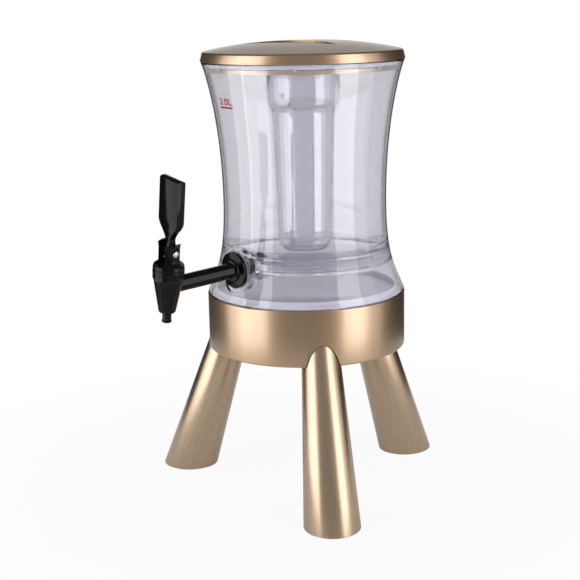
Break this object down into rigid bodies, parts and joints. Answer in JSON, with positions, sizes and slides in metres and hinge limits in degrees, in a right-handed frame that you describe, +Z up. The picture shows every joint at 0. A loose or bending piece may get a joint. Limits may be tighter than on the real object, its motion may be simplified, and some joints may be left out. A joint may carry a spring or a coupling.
{
  "type": "draft beer dispenser",
  "caption": "Countertop beer dispenser: waisted clear vessel on a round base with splayed legs, domed lid with an ice tube, lever tap on a long shank.",
  "frame": {"origin": "On the surface that the feet stand on, on the vessel's axis.", "axes": "+Z up along the vessel's axis; -Y from the vessel towards the tap; +X completes the right-handed frame, to the right of a person who faces the tap."},
  "size_m": [0.2874, 0.3438, 0.44],
  "materials": {
    "clear_plastic": "clear polycarbonate, polished",
    "drum_coating": "champagne metallic coating, satin",
    "leg_coating": "champagne anodised, finely brushed",
    "white_plastic": "white, satin",
    "silicone": "translucent white silicone",
    "black_plastic": "black, glossy",
    "rubber": "dark grey, matte",
    "steel": "bright, lightly brushed"
  },
  "bodies": {
    "stand": {"vessel": "clear_plastic", "base_drum": "drum_coating", "base_deck": "white_plastic", "deck_screw_1": "steel", "deck_screw_2": "steel", "deck_screw_3": "steel", "leg_1": "leg_coating", "leg_2": "leg_coating", "leg_3": "leg_coating", "foot_pad_1": "rubber", "foot_pad_2": "rubber", "foot_pad_3": "rubber", "leg_stud_1": "steel", "leg_stud_2": "steel", "leg_stud_3": "steel", "tap_shank": "black_plastic", "outer_washer": "silicone", "inner_washer": "silicone", "inner_nut": "clear_plastic", "tap_body": "black_plastic", "tap_bonnet": "black_plastic", "lever_pin": "steel", "valve_spring": "steel"},
    "lid": {"lid_cap": "drum_coating", "lid_liner": "drum_coating", "lid_seal": "silicone", "tube_gasket": "silicone"},
    "tube": {"ice_tube": "clear_plastic"},
    "lever": {"tap_lever": "black_plastic"},
    "valve": {"valve_stem": "steel", "valve_seal": "silicone"}
  },
  "joints": [
    {"name": "lid_lift", "type": "slide", "parent": "stand", "child": "lid", "axis": [0, 0, 1], "range_m": [0, 0.2]},
    {"name": "tube_twist", "type": "hinge", "parent": "lid", "child": "tube", "pos_m": [0, 0, 0.4], "axis": [0, 0, 1], "range_deg": [0, 90]},
    {"name": "lever_tilt", "type": "hinge", "parent": "stand", "child": "lever", "pos_m": [0.00608, -0.16781, 0.26013], "axis": [0.9836, 0.0072, -0.1804], "range_deg": [0, 30], "stiffness_Nm_per_rad": 0.15, "springref_deg": -20.05},
    {"name": "valve_lift", "type": "slide", "parent": "stand", "child": "valve", "axis": [0.1805, -0.0395, 0.9828], "range_m": [0, 0.0018], "deforming": ["valve_spring"]}
  ],
  "couplings": [
    {"joint": "valve_lift", "follows": "lever_tilt", "m_per_rad": 0.00343}
  ]
}
